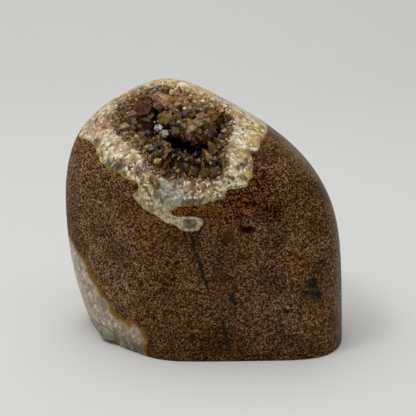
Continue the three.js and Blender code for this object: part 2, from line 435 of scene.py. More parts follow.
# What the skin shows, kept on each point for the finish: millimetres inside
# the rim's outline, the corner's outline and the mouth, and below the skin.
points = points_of(stone)
ways, reach = split_from_heart(points)
below = (skin_radius(ways) - reach) / MM
places = on_window_map(ways) * MM_PER_DEGREE
rim_line = flowing_line(RIM_OUTLINE) * MM_PER_DEGREE
round_axis = np.degrees(np.arctan2(points[:, 1], points[:, 0]))
round_axis = np.where(round_axis > 90, round_axis - 360, round_axis)
corner_places = np.stack((round_axis * MM_ROUND, points[:, 2] / MM + np.maximum(below, 0)), axis=1)
corner_line = flowing_line(CORNER_OUTLINE) * (MM_ROUND, 1)
unturn = (Matrix.Rotation(math.radians(NODULE["turn"]), 3, "Z") @ Matrix.Rotation(math.radians(NODULE["tilt"]), 3, "X"))
in_nodule = (points - heart * (1, 1, 0)) / MM - NODULE["centre"]
in_nodule = np.linalg.norm(in_nodule @ np.array(unturn) / NODULE["half"], axis=1)
marks = {
    "nodule": (1 - in_nodule) * 3.0,
    "rim": inside_distance(places, rim_line),
    "corner": inside_distance(corner_places, corner_line),
    "mouth": inside_distance(places, mouth_line),
    "below": below,
}
from_mouth = on_window_map(ways) - MOUTH_MIDDLE
fan = np.zeros((len(points), 3), np.float32)
fan[:, :2] = from_mouth / np.maximum(np.linalg.norm(from_mouth, axis=1), 1e-6)[:, None] * FAN_RADIUS
fan[:, 2] = marks["mouth"] * FAN_STRETCH
stone.data.attributes.new("fan", "FLOAT_VECTOR", "POINT").data.foreach_set("vector", fan.ravel())
for name, values in marks.items():
    stone.data.attributes.new(name, "FLOAT", "POINT").data.foreach_set("value", values.astype(np.float32))
deselect_all()
stone.select_set(True)
bpy.context.view_layer.objects.active = stone
bpy.ops.object.shade_smooth_by_angle(angle=math.radians(40))


def paint(red, green, blue):
    """A colour as it is seen, 0 to 255, turned into the amount of light."""
    light = [(c / 255 / 12.92) if c < 10.3 else ((c / 255 + 0.055) / 1.055) ** 2.4 for c in (red, green, blue)]
    return (*light, 1)


class Wire:
    """One output of a material's node. Sums of wires are worked out by nodes."""

    def __init__(self, tree, socket):
        self.tree = tree
        self.socket = socket

    def node(self, kind, settings=None, inputs=None, output=0):
        """Makes a node, sets it up, fills its inputs and gives back one output."""
        made = self.tree.nodes.new(kind)
        for name, value in (settings or {}).items():
            setattr(made, name, value)
        for name, value in (inputs or {}).items():
            if isinstance(value, Wire):
                self.tree.links.new(value.socket, made.inputs[name])
            else:
                made.inputs[name].default_value = value
        return Wire(self.tree, made.outputs[output])

    def sum(self, operation, *values):
        is_vector = [isinstance(v, (tuple, Vector)) or isinstance(v, Wire) and v.socket.type != "VALUE" for v in values]
        if not any(is_vector):
            return self.node("ShaderNodeMath", {"operation": operation}, dict(enumerate(values)))
        threes = [(v, v, v) if isinstance(v, (int, float)) else v for v in values]
        return self.node("ShaderNodeVectorMath", {"operation": operation}, dict(enumerate(threes)))

    def __add__(self, other):
        return self.sum("ADD", self, other)

    def __radd__(self, other):
        return self.sum("ADD", other, self)

    def __sub__(self, other):
        return self.sum("SUBTRACT", self, other)

    def __rsub__(self, other):
        return self.sum("SUBTRACT", other, self)

    def __mul__(self, other):
        return self.sum("MULTIPLY", self, other)

    def __rmul__(self, other):
        return self.sum("MULTIPLY", other, self)

    def __truediv__(self, other):
        return self.sum("DIVIDE", self, other)

    def __rtruediv__(self, other):
        return self.sum("DIVIDE", other, self)

    def __pow__(self, other):
        return self.sum("POWER", self, other)

    def least(self, other):
        return self.sum("MINIMUM", self, other)

    def most(self, other):
        return self.sum("MAXIMUM", self, other)

    def size(self):
        return self.sum("ABSOLUTE", self)

    def rise(self, low, high):
        """Goes smoothly from 0 at low to 1 at high."""
        return self.node("ShaderNodeMapRange", {"interpolation_type": "SMOOTHSTEP"},
                         {"Value": self, "From Min": low, "From Max": high})

    def peak(self, middle, width):
        """1 at the middle, and 0 from a width away."""
        return (self - middle).size().rise(width, 0)

    def mix(self, low, high):
        """Goes from one colour to another as this goes from 0 to 1."""
        return self.node("ShaderNodeMix", {"data_type": "RGBA"}, {0: self, 6: low, 7: high}, 2)

    def cloud(self, size, detail=2.0, roughness=0.5):
        """Soft random clouds about so many millimetres across, 0 to 1."""
        return self.node("ShaderNodeTexNoise", {},
                         {"Vector": self, "Scale": 1 / size, "Detail": detail, "Roughness": roughness})

    def grain(self, size, output="Distance", feature="F1"):
        """Random grains about so many millimetres across."""
        return self.node("ShaderNodeTexVoronoi", {"feature": feature},
                         {"Vector": self, "Scale": 1 / size}, output)

    def near(self, spot, radius):
        """1 at a spot, in millimetres, and 0 beyond its radius."""
        return self.distance(spot).rise(radius, 0)

    def stirred(self, size, amount):
        """These places, each pushed about by up to so many millimetres."""
        push = self.node("ShaderNodeTexNoise", {}, {"Vector": self, "Scale": 1 / size, "Detail": 3.0}, "Color")
        return self + (push - 0.5) * amount

    def distance(self, spot):
        return self.node("ShaderNodeVectorMath", {"operation": "DISTANCE"}, {0: self, 1: spot}, "Value")

    def part(self, axis):
        return self.node("ShaderNodeSeparateXYZ", {}, {0: self}, axis)

    def bump(self, height, strength):
        """The surface's facing, roughened by a height in millimetres."""
        return self.node("ShaderNodeBump", {}, {"Height": height, "Distance": MM, "Strength": strength})


def new_material(name):
    """An empty material: its output socket, and a wire of millimetre places."""
    material = bpy.data.materials.new(name)
    material.use_nodes = True
    tree = material.node_tree
    tree.nodes.clear()
    output = tree.nodes.new("ShaderNodeOutputMaterial")
    places = tree.nodes.new("ShaderNodeTexCoord")
    return material, output.inputs["Surface"], Wire(tree, places.outputs["Object"]) * (1 / MM)


def mark(wire, name, output="Fac"):
    """What was kept on the mesh's points under a name."""
    return wire.node("ShaderNodeAttribute", {"attribute_name": name}, {}, output)


def finish(wire, colour, roughness, normal, settings):
    """A surface with a colour, a roughness and a facing, and fixed settings."""
    inputs = {"Base Color": colour, "Roughness": roughness, "Normal": normal}
    return wire.node("ShaderNodeBsdfPrincipled", {}, inputs | settings, "BSDF")


BASALT_DARK = paint(34, 17, 3)
BASALT_TAN = paint(185, 153, 107)
BASALT_PINK = paint(172, 140, 116)
GROUND_TINGE = paint(141, 122, 100)
BASALT_GOLD = paint(170, 126, 60)
BASALT_SHADE = paint(168, 158, 142)
PAINTED_SHADE = paint(226, 216, 202)
RUST = paint(186, 110, 34)
RUST_DARK = paint(16, 4, 0)
RUST_GROUND = paint(98, 52, 12)
RUST_SMOOTH = paint(72, 38, 6)
RUST_RED = paint(66, 26, 6)
LINE_BROWN = paint(66, 36, 10)
OLIVE_BLACK = paint(30, 26, 17)
OLIVE_GREY = paint(52, 54, 42)
OCHRE = paint(144, 102, 26)
STAIN = paint(140, 86, 30)
QUARTZ_CREAM = paint(206, 184, 128)
QUARTZ_WHITE = paint(255, 248, 228)
QUARTZ_BROWN = paint(84, 60, 32)
MOUTH_BROWN = paint(124, 92, 54)
QUARTZ_GREEN = paint(138, 128, 78)
QUARTZ_GREY = paint(98, 90, 68)
QUARTZ_PALE_GREY = paint(190, 188, 170)
AGATE_GREEN = paint(90, 86, 50)
GOLD_TINGE = paint(206, 176, 128)
YELLOW_TINGE = paint(246, 232, 184)
LILAC_TINGE = paint(236, 208, 200)
TAIL_GREY = paint(122, 114, 98)
TAIL_CREAM = paint(206, 188, 140)
LOW_TINGE = paint(250, 240, 208)
POCKET_TINGE = paint(184, 168, 144)
LOW_GREEN_SHADE = paint(76, 68, 36)
CORNER_PINK = paint(185, 163, 135)
CORNER_MAUVE = paint(134, 112, 92)
CORNER_BROWN = paint(92, 78, 58)
BED_GOLD = paint(128, 94, 52)
DEEP_BED_SHADE = paint(34, 18, 7)
NODULE_GREEN = paint(126, 118, 92)
NODULE_PALE = paint(180, 172, 148)
DARK_RUST_SPOTS = (((13.2, -30.5, 47.3), 1.9), ((15.0, -30.5, 47.1), 1.7))
SMOOTH_RUST_SPOTS = (((8.2, -30.7, 44.6), 3.6),)
RED_RUST_SPOTS = (((15.6, -30.5, 47.0), 2.5), ((12.8, -30.5, 47.2), 2.5))
GOLDEN_BASALT = (((33.3, -30, 34), 8), ((42, -27.6, 17), 8), ((-12.2, -31.5, 32.2), 6), ((-4.8, -32.6, 13.4), 6),
                 ((-18.2, -30.2, 45), 9), ((-24, -27, 52), 8), ((32, -28, 58), 12), ((38, -28, 47), 9))
GOLD_UNDER_RIM = (((-6, -30.7, 53), 5), ((0.4, -30.5, 53.5), 5), ((6, -30.6, 52.5), 5))
MAUVE_BASALT = (((15, -32, 16), 14), ((27, -32, 8), 11), ((4, -31.3, 36.4), 9), ((23, -31, 29), 10))
RUST_CLOUDS = (((13, -30, 57), 11), ((19.5, -28.6, 63), 7), ((11.5, -30.4, 52.5), 6), ((22, -29.8, 53.5), 8))
OLIVE_SHADES = (((32, -28, 58), 11), ((38, -27.8, 47), 8), ((-17, -30.5, 12), 9), ((-20, -29.5, 22), 7))
OCHRE_CORNERS = (((-24.5, -27.2, 62.3), 1.9), ((-29.2, -22.2, 64.4), 1.4), ((14.5, -23.5, 73.0), 1.8), ((-38.5, -15.8, 24), 3.0),
                 ((-32, -21, 14.5), 3.4))
DARK_INCLUSIONS = (((36.8, -29.7, 27.0), 2.4), ((37.8, -29.4, 24.2), 3.0), ((38.6, -29.2, 22.8), 2.6),
                   ((29.5, -31.1, 20.1), 1.2))
GOLD_CLOUDS = (((-28, 4.8, 85), 9), ((-30.6, -2.4, 80), 7), ((-24.0, -22.6, 68.2), 4), ((-18, -27.5, 66.2), 6),
               ((0.4, -29.8, 62.3), 3.5), ((8.5, -24, 74), 4.5))
WHITE_LIP = (((-11.3, -29.3, 64), 2.6), ((-7.5, -29.5, 64.3), 2.0), ((-14.5, -28.8, 64.6), 1.8),
             ((4.5, -29.2, 64), 2.4), ((8.3, -29.3, 63.3), 2.2))
YELLOW_CLOUDS = (((14.8, -28.8, 65.2), 4), ((17.3, -20.8, 75.7), 6),
                 ((-1.4, -1.6, 88.5), 9), ((-13.9, 6.8, 91.3), 10), ((18.5, -14, 79.5), 7), ((-37, -12, 70), 5),
                 ((14, -25, 71.5), 4.5))
WHITE_CLOUDS = (((12.6, -19.6, 77.2), 4), ((18, -12, 79.5), 4), ((-8.5, 2.5, 90.6), 5), ((-11.3, -29.3, 64.0), 2.4),
                ((8.5, -29.5, 62.6), 3.0), ((-33, -11.5, 71.5), 7), ((-29, -18, 68.6), 4), ((12, -27.5, 67), 6),
                ((-14.7, -28.4, 65.8), 3.5), ((-14, 5, 91), 7))
LILAC_CLOUDS = (((-36, -1, 77.5), 8), ((-28, -14, 72.5), 6), ((-10.6, -29.4, 64), 5), ((-4.6, -29.5, 64), 6),
                ((11.8, -12, 82), 5), ((-16, 4, 90.5), 5))
GREY_AGATE = (((-13.0, -30.1, 60.5), 6.5), ((-14.5, -30.3, 56.5), 5.0), ((-9.5, -30.0, 58.5), 4.5))
RUST_STAINS = (((-3.6, -29.7, 61.6), 2.4), ((-0.6, -29.7, 62.6), 1.6))
LOW_GREEN = (((-5.5, -30.4, 56.6), 3.6), ((-1.5, -30.3, 57.6), 3.2))
BROWN_POCKETS = (((-16.3, -29.3, 62.6), 3.0), ((-16.0, -29.9, 58.8), 2.4), ((-21.5, -25.9, 66.5), 3.6),
                 ((-9.0, -29.6, 63.3), 1.4), ((-3.8, -29.6, 63.4), 1.5), ((-36.9, -7.2, 71.2), 3.0), ((-28.6, -20.4, 67.6), 3.4))
GREEN_AGATE = (((-32.4, -17.4, 66.9), 3.6), ((-29.0, -20.6, 65.8), 4.6))
TAIL = (((-14, -30.4, 52.5), 5), ((-9, -30.7, 50.2), 5), ((-5, -30.9, 49.4), 5), ((-18.5, -29.3, 56.0), 4), ((-21.5, -28.6, 57.6), 3))
TAIL_END = (-4.9, -30.9, 49.6)
CRACKS = (
    {"top": (-4.4, 44.0), "foot": 25.0, "slant": 0.33, "width": 0.75},
    {"top": (5.9, 17.0), "foot": 6.0, "slant": 0.17, "width": 0.7},
    {"top": (41.4, 35.2), "foot": 34.8, "slant": -1.7, "width": 0.9},
)
PALE_FLECKS = (((13.4, -32.0, 16.5), 0.8), ((36.5, -29.8, 29.0), 0.5))
SOFT_DARK_SPOTS = (((-3.9, -31.1, 42.0), 1.5), ((-2.4, -31.4, 37.8), 1.6), ((-1.4, -31.5, 34.6), 1.2),
                   ((9.3, -31.8, 22.6), 1.9), ((11.0, -31.8, 21.0), 1.5), ((28.2, -31.3, 18.0), 1.4),
                   ((30.0, -31.2, 17.8), 1.0), ((32.6, -30.9, 17.2), 1.1), ((33.6, -30.4, 24.3), 1.3),
                   ((40.4, -27.9, 34.6), 1.0), ((41.6, -27.1, 35.2), 0.9), ((-12.8, -31.3, 35.7), 1.1),
                   ((-9.4, -31.5, 35.1), 1.3), ((-12.9, -31.5, 31.1), 1.0), ((-4.1, -32.7, 9.0), 2.0),
                   ((-22.0, -28.4, 27.5), 1.6), ((13.5, -31.5, 36.5), 1.5), ((7.3, -32.5, 10.2), 1.3))

stone_finish, stone_surface, spot = new_material("polished_basalt_and_quartz")
stone.data.materials.clear()
stone.data.materials.append(stone_finish)
wobble = (spot.cloud(2.4, 3) - 0.5) * 1.0 + (spot.cloud(0.7, 2) - 0.5) * 0.5
rim = mark(spot, "rim") + wobble
corner = mark(spot, "corner") + wobble
mouth = mark(spot, "mouth") + wobble
below = mark(spot, "below")
quartz_edge = rim.most(corner).most(below - 0.45)


def any_near(spots):
    """1 near any of some spots, in millimetres, with torn edges."""
    torn = spot.stirred(2.2, 3.0)
    total = None
    for place, radius in spots:
        closeness = torn.near(place, radius)
        total = closeness if total is None else total.most(closeness)
    return total


def tinged(colour, amount, tinge):
    """A colour, darkened through a tinge by an amount from 0 to 1."""
    return spot.node("ShaderNodeMix", {"data_type": "RGBA", "blend_type": "MULTIPLY"},
                     {0: amount, 6: colour, 7: tinge}, 2)


# The basalt: half-millimetre grains of tan, pink and dark brown, clouded with
# rust, with a few dark crystals and a hairline crack down the front.
fine = spot.stirred(0.7, 0.5)
grain_pick = fine.grain(0.40, "Color")
grains = fine.cloud(0.54, 1.5, 0.6) * 0.66 + grain_pick.part(0) * 0.34 + (spot.cloud(2.4, 2) - 0.5) * 0.12
light_grains = grains.rise(0.515, 0.70)
hue = spot.cloud(5.5, 3) * 0.6 + grain_pick.part(1) * 0.4 - any_near(MAUVE_BASALT) * 0.3
basalt_light = hue.rise(0.30, 0.62).mix(BASALT_PINK, BASALT_TAN)
golden = spot.cloud(9, 3).rise(0.48, 0.72) * 0.5 + any_near(GOLDEN_BASALT) * 0.7
basalt_light = golden.least(0.9).mix(basalt_light, BASALT_GOLD)
rusty = any_near(RUST_CLOUDS)
rust = (rusty * 1.1 + spot.cloud(7, 4).rise(0.55, 0.75) * 0.4 + rim.peak(-0.9, 1.5) * 0.4).least(1.0)
dark_grains = (grains - rust * 0.07).rise(0.50, 0.34)
under_rim = any_near(GOLD_UNDER_RIM).rise(0.0, 0.6)
rust = rust * (1 - under_rim * 0.6)
basalt_light = under_rim.mix(basalt_light, BASALT_GOLD)
basalt_ground = rust.mix(tinged(basalt_light, 1.0, GROUND_TINGE), RUST_GROUND)
basalt_light = (rust * 0.72).mix(basalt_light, RUST)
basalt_dark = rust.mix(BASALT_DARK, RUST_DARK)
basalt = light_grains.mix(basalt_ground, basalt_light)
basalt = dark_grains.mix(basalt, basalt_dark)
basalt = tinged(basalt, spot.cloud(11, 3).rise(0.42, 0.68) * 0.7, BASALT_SHADE)
basalt = tinged(basalt, any_near(OLIVE_SHADES).rise(0.0, 0.7) * 0.4, BASALT_SHADE)
# Painted shade: the basalt is darkened across the middle of the front, less so higher up, and darkened towards the
# base.
painted_middle_shade = spot.part(0).rise(-27, -8) * (1 - spot.part(0).rise(10, 34) * 0.8)
basalt = tinged(basalt, painted_middle_shade * (1 - spot.part(2).rise(40, 70) * 0.8), PAINTED_SHADE)
basalt = tinged(basalt, spot.part(2).rise(14, 2), PAINTED_SHADE)
basalt = (rusty * spot.cloud(2.6, 3).rise(0.42, 0.62) * (0.95 - light_grains * 0.6)).mix(basalt, RUST_DARK)
basalt = (any_near(SMOOTH_RUST_SPOTS).rise(0.1, 0.7) * 0.8).mix(basalt, RUST_SMOOTH)
basalt = any_near(RED_RUST_SPOTS).rise(0.12, 0.5).mix(basalt, RUST_RED)
basalt = any_near(DARK_RUST_SPOTS).rise(0.1, 0.7).mix(basalt, RUST_DARK)
dashes = (spot * (1.0, 1.0, 0.55)).cloud(2.1, 2, 0.45).rise(0.70, 0.74) * 0.8
basalt = dashes.mix(basalt, OLIVE_BLACK)
inclusion = any_near(DARK_INCLUSIONS)
basalt = (inclusion.rise(0.0, 0.2) * 0.6).mix(basalt, LINE_BROWN)
inclusion = inclusion.rise(0.08, 0.26) * (1 - light_grains * 0.2)
basalt = inclusion.mix(basalt, spot.cloud(1.6, 3).rise(0.4, 0.6).mix(OLIVE_BLACK, OLIVE_GREY))
crack_wobble = (spot.cloud(5, 3) - 0.5) * 2.4
crack = any_near(SOFT_DARK_SPOTS).rise(0.0, 0.7)
for way_down in CRACKS:
    (across, top), foot = way_down["top"], way_down["foot"]
    off_line = (spot.part(0) - across - (top - spot.part(2)) * way_down["slant"] + crack_wobble).size()
    off_line = off_line.rise(way_down["width"], way_down["width"] * 0.3) * spot.part(1).rise(-20, -26)
    off_line = off_line * spot.part(2).rise(top + 1.5, top) * spot.part(2).rise(foot - 2.0, foot)
    crack = crack.most(off_line * spot.cloud(4, 2).rise(0.33, 0.45))
basalt = (crack * 0.95).mix(basalt, OLIVE_BLACK)
basalt = any_near(PALE_FLECKS).rise(0.1, 0.5).mix(basalt, QUARTZ_GREY)

# The quartz: sugary cream with lilac clouds, white grains that are partly painted sparkle highlights, a smooth
# green-grey band by the basalt and a browner edge at the mouth of the hollow.
facets = spot.grain(0.95, "Color")
fan = mark(spot, "fan", "Vector")
fibres = fan.stirred(1.6, 1.0).cloud(0.95, 3, 0.65)
sugar = (spot.grain(1.5, "Color").part(0) * 0.17 + facets.part(1) * 0.17 + spot.cloud(0.7, 3) * 0.16
         + fibres.rise(0.3, 0.7) * 0.26 + spot.stirred(1.4, 1.2).cloud(2.3, 4, 0.6).rise(0.3, 0.7) * 0.3)
low_band = spot.part(2).rise(70, 66)
quartz = (sugar - low_band * 0.05).rise(0.24, 0.60).mix(QUARTZ_BROWN, QUARTZ_CREAM)
whiteness = sugar.rise(0.56, 0.74) * 0.6 + any_near(WHITE_CLOUDS) * sugar.rise(0.42, 0.64) * 0.55
quartz = whiteness.least(1.0).mix(quartz, QUARTZ_WHITE)
on_yellow = any_near(YELLOW_CLOUDS).rise(0.0, 0.7)
quartz = tinged(quartz, on_yellow, YELLOW_TINGE)
quartz = tinged(quartz, any_near(GOLD_CLOUDS).rise(0.0, 0.6), GOLD_TINGE)
lilac = any_near(LILAC_CLOUDS).rise(0.0, 0.7).most(spot.cloud(4.5, 3).rise(0.52, 0.68) * 0.8)
quartz = tinged(quartz, lilac * rim.rise(0.8, 2.6), LILAC_TINGE)
quartz = (mouth.rise(-2.6, 0.4) * (1.1 - sugar * 0.9)).least(1.0).most(0.0).mix(quartz, MOUTH_BROWN)
quartz = (any_near(WHITE_LIP).rise(0.0, 0.6) * sugar.rise(0.40, 0.60) * 0.8).mix(quartz, QUARTZ_WHITE)
low_lip = mouth.rise(-4.2, -1.5) * spot.part(2).rise(72, 68) * spot.cloud(3.2, 2).rise(0.42, 0.6)
quartz = tinged(quartz, low_band * 0.5, LOW_TINGE)
# White grains, partly painted sparkle highlights.
flecks_and_sparkle = (spot.grain(0.7, "Color").part(2) + low_lip * 0.26 + low_band * 0.10).rise(0.80, 0.90) * (
    spot.cloud(2.2, 2) + low_lip * 0.12 + low_band * 0.05).rise(0.42, 0.58)
quartz = (flecks_and_sparkle * 0.95).mix(quartz, QUARTZ_WHITE)
dark_specks = (spot.stirred(1.2, 1.0).grain(0.9, "Color").part(1) + low_band * 0.12).rise(0.78, 0.95)
dark_specks = dark_specks * (spot.cloud(3.2, 2) + low_band * 0.04).rise(0.44, 0.6)
quartz = (dark_specks * (0.35 + low_band * 0.5) * (1 - on_yellow * 0.7)).mix(quartz, QUARTZ_BROWN)
smooth_band = rim.peak(0.5, 0.9) * (0.25 + spot.cloud(6, 2).rise(0.4, 0.6) * 0.6)
quartz = smooth_band.mix(quartz, QUARTZ_GREEN)
quartz = (any_near(GREEN_AGATE).rise(0.0, 0.9) * rim.rise(5.0, 1.8) * (1.35 - sugar * 0.7)).least(1.0).mix(quartz, AGATE_GREEN)
plates = spot.stirred(1.6, 1.2).grain(2.6, "Color")
grey = spot.stirred(1.5, 1.5).cloud(1.9, 4, 0.65).rise(0.38, 0.62).mix(QUARTZ_GREY, QUARTZ_PALE_GREY)
grey = (plates.part(1).rise(0.6, 0.9) * fibres.rise(0.40, 0.62) * 0.8).mix(grey, QUARTZ_WHITE)
quartz = (any_near(GREY_AGATE).rise(0.0, 0.6) * (1.15 - sugar * 0.8)).least(1.0).mix(quartz, grey)
quartz = tinged(quartz, any_near(BROWN_POCKETS).rise(0.0, 0.6), POCKET_TINGE)
quartz = (any_near(RUST_STAINS).rise(0.0, 0.6) * (1.1 - sugar * 0.6)).least(1.0).mix(quartz, STAIN)
on_tail = rim.rise(2.8, 2.0) * any_near(TAIL).rise(0.0, 0.6)
quartz = (on_tail * (0.85 - sugar * 0.4)).mix(quartz, TAIL_CREAM)
quartz = (on_tail * spot.grain(0.6, "Color").part(0).rise(0.6, 0.85) * 0.7).mix(quartz, QUARTZ_BROWN)
low_green = any_near(LOW_GREEN).rise(0.0, 0.6) * rim.rise(3.4, 1.8) * (1.3 - sugar * 0.7)
quartz = low_green.least(1.0).mix(quartz, LOW_GREEN_SHADE)
tail_end = spot.near(TAIL_END, 3.8).rise(0.05, 0.6)
quartz = (tail_end * rim.rise(0.5, 1.2)).mix(quartz, TAIL_GREY)
quartz = (tail_end * rim.rise(1.0, 1.6) * facets.part(0).rise(0.45, 0.75)).mix(quartz, QUARTZ_BROWN)

streaks = (spot.stirred(3.0, 1.6) * (1.0, 1.0, 0.3)).cloud(1.7, 4, 0.62)
corner_quartz = streaks.rise(0.36, 0.62).mix(CORNER_MAUVE, CORNER_PINK)
mottle = spot.stirred(2.2, 2.2).cloud(2.2, 4, 0.65)
corner_quartz = (mottle.rise(0.50, 0.62) * 0.45).mix(corner_quartz, QUARTZ_WHITE)
corner_quartz = (mottle.rise(0.46, 0.36) * 0.7).mix(corner_quartz, CORNER_MAUVE)
corner_quartz = (spot.grain(0.7, "Color").part(0).rise(0.75, 0.98) * 0.25).mix(corner_quartz, QUARTZ_WHITE)
corner_quartz = (spot.stirred(1.5, 1.5).cloud(1.3, 3, 0.6).rise(0.55, 0.68) * 0.55).mix(corner_quartz, CORNER_BROWN)
corner_quartz = (corner.rise(3.0, 0.8) * 0.5).mix(corner_quartz, QUARTZ_GREEN)
corner_quartz = (spot.part(2).rise(8.0, 2.0) * streaks.rise(0.66, 0.44)).mix(corner_quartz, CORNER_BROWN)
on_nodule = mark(spot, "nodule").rise(-0.3, -0.1)
nodule_colour = (spot.part(2) + streaks * 3.0).rise(4.0, 8.5).mix(NODULE_GREEN, NODULE_PALE)
corner_quartz = on_nodule.mix(corner_quartz, nodule_colour)
corner_quartz = mark(spot, "nodule").peak(-0.35, 0.35).mix(corner_quartz, CORNER_BROWN)
is_corner = (corner - rim.most(mouth)).rise(-0.2, 0.4)
quartz = is_corner.mix(quartz, corner_quartz)
# Painted shade: the bare wall of the hollow goes from gold to near black with depth below the skin.
bed_colour_and_shade = below.rise(3.0, 8.0).mix(BED_GOLD, DEEP_BED_SHADE)
quartz = (below.rise(0.4, 1.4) * (1 - is_corner)).mix(quartz, bed_colour_and_shade)
line_width = 0.2 + spot.cloud(4, 2).rise(0.42, 0.7) * 0.35 + any_near(OCHRE_CORNERS) * 1.0
line_width = line_width + is_corner * (0.1 + spot.cloud(4.5, 2).rise(0.40, 0.60))
line = (rim.most(corner) + 0.15).size() / line_width
line = line.rise(1.15, 0.6) * below.rise(0.8, 0.3)
line_colour = (spot.cloud(2.2, 2).rise(0.44, 0.58) * (1 - is_corner * 0.7)).mix(OCHRE, LINE_BROWN)

facet_tilt = spot.node("ShaderNodeVectorMath", {"operation": "DOT_PRODUCT"},
                       {0: spot - spot.grain(0.95, "Position"), 1: facets - 0.5}, "Value")
quartz_normal = spot.bump(facet_tilt * 0.30 + spot.cloud(0.5, 2) * 0.04, 0.6)
basalt_normal = spot.bump(light_grains * 0.02 + spot.cloud(6, 2) * 0.05, 0.5)
basalt_look = finish(spot, line.mix(basalt, line_colour), 0.36 + light_grains * 0.12, basalt_normal,
                     {"Specular IOR Level": 0.035})
quartz_look = finish(spot, line.mix(quartz, line_colour), 0.22 + sugar * 0.25, quartz_normal,
                     {"IOR": 1.54, "Specular IOR Level": 0.5})
is_quartz = quartz_edge.rise(-0.12, 0.12)
both = spot.node("ShaderNodeMixShader", {}, {0: is_quartz, 1: basalt_look, 2: quartz_look})
both.tree.links.new(both.socket, stone_surface)

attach(stone, "root")
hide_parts("polished_stone")

# ------------------------------------------------------------- the crystals
# Smoky amethyst points that grew over the hollow's wall, each six-sided with a
# pointed top. They stand out from the wall, and the ground skin stops them.

CRYSTAL_SEED = 5
ROOT_SPREAD = 1.25
ROOT_SHARE = 0.55
LEAN = 0.24
MAUVE = (paint(160, 116, 88), paint(132, 88, 62), paint(184, 144, 114))
GOLDEN = (paint(158, 124, 66), paint(130, 96, 44), paint(184, 154, 104), paint(142, 108, 64))
SMOKY = (paint(134, 100, 56), paint(160, 126, 76), paint(106, 70, 32), paint(184, 154, 106))
SUGARY = (paint(194, 170, 128), paint(222, 204, 168), paint(156, 128, 90), paint(186, 156, 124))
BIG_POINTS = (
    ((-27.8, 33.0), 3.6, 6.9, paint(124, 84, 66)),
    ((-34.2, 29.5), 3.2, 5.2, paint(134, 98, 78)),
    ((-34.3, 25.8), 3.4, 3.8, paint(128, 98, 68)),
    ((-32.4, 36.8), 3.0, 3.4, paint(140, 98, 64)),
    # The next point is dark red-brown, its tint darkened further as painted shade.
    ((-27.4, 25.0), 5.2, 4.8, paint(52, 14, 2)),
    ((-16.0, 36.4), 4.0, 6.2, paint(230, 190, 166)),
    ((-20.2, 38.0), 3.2, 4.4, paint(190, 156, 138)),
    ((-13.2, 32.4), 3.9, 4.2, paint(178, 140, 116)),
    ((-20.6, 34.0), 4.0, 3.6, paint(156, 116, 94)),
    ((-8.6, 34.8), 3.2, 4.8, paint(180, 140, 100)),
    ((-17.4, 26.2), 4.2, 5.6, paint(156, 128, 82)),
    ((-10.4, 25.6), 4.2, 5.2, paint(146, 112, 56)),
    ((-3.3, 20.6), 4.1, 6.0, paint(194, 150, 94)),
    ((2.0, 23.8), 3.7, 5.2, paint(168, 126, 80)),
    ((8.0, 25.9), 3.4, 5.0, paint(164, 128, 84)),
    ((13.2, 22.6), 3.9, 4.6, paint(72, 38, 12)),
    ((14.4, 19.2), 4.0, 2.6, paint(156, 112, 58)),
    ((7.4, 19.8), 4.4, 4.2, paint(128, 90, 48)),
    ((13.9, 12.4), 4.4, 3.6, paint(112, 84, 54)),
    ((2.3, 17.6), 4.6, 2.4, paint(206, 186, 150)),
    ((-10.1, 19.0), 4.6, 3.0, paint(176, 134, 52)),
    ((-13.4, 20.6), 4.8, 2.8, paint(128, 92, 34)),
    ((-21.6, 20.6), 4.2, 3.1, paint(184, 200, 214)),
    ((-19.2, 17.4), 4.9, 3.4, paint(140, 140, 126)),
    # The small near-white points from here to the end are painted glints: pale crystals set where highlights fall.
    ((-10.6, 22.2), 3.7, 1.5, paint(255, 246, 214)),
    ((-8.6, 17.6), 4.1, 1.7, paint(255, 244, 208)),
    ((-5.4, 16.2), 4.3, 1.4, paint(246, 226, 184)),
    ((3.2, 18.6), 4.0, 1.7, paint(226, 214, 192)),
    ((7.6, -6.6), 2.4, 1.6, paint(236, 240, 250)),
    ((-34.8, 30.6), 2.4, 2.0, paint(246, 214, 196)),
    ((2.2, 33.2), 2.4, 1.6, paint(250, 244, 226)),
    ((5.4, 31.2), 2.3, 1.6, paint(246, 240, 222)),
)
# Points narrower than this get a wide spread of painted light and shade on their facets, as glints.
GLINT_WIDTH = 3.5
CLUSTERS = (
    {"place": (-12.7, 30.2), "below": 4.2, "reach": 2.6, "width": 0.9, "tint": paint(168, 136, 100)},
    {"place": (-5.5, 31.0), "below": 3.6, "reach": 3.0, "width": 0.7, "tint": paint(222, 192, 150)},
    {"place": (1.5, 30.6), "below": 3.6, "reach": 3.0, "width": 0.7, "tint": paint(216, 190, 150)},
    {"place": (-7.4, 15.4), "below": 5.2, "reach": 2.6, "width": 1.0, "tint": paint(120, 76, 26)},
    {"place": (-1.4, 12.6), "below": 5.4, "reach": 2.6, "width": 1.0, "tint": paint(104, 62, 20)},
    {"place": (4.6, 13.6), "below": 5.2, "reach": 2.6, "width": 1.0, "tint": paint(112, 72, 34)},
)
FORWARD = np.array((0.0, -1.0, 0.18))
CRYSTAL_ROOT = paint(92, 64, 38)
CRYSTAL_WARMTH = paint(255, 243, 212)
PAINTED_GLINT = paint(232, 226, 208)
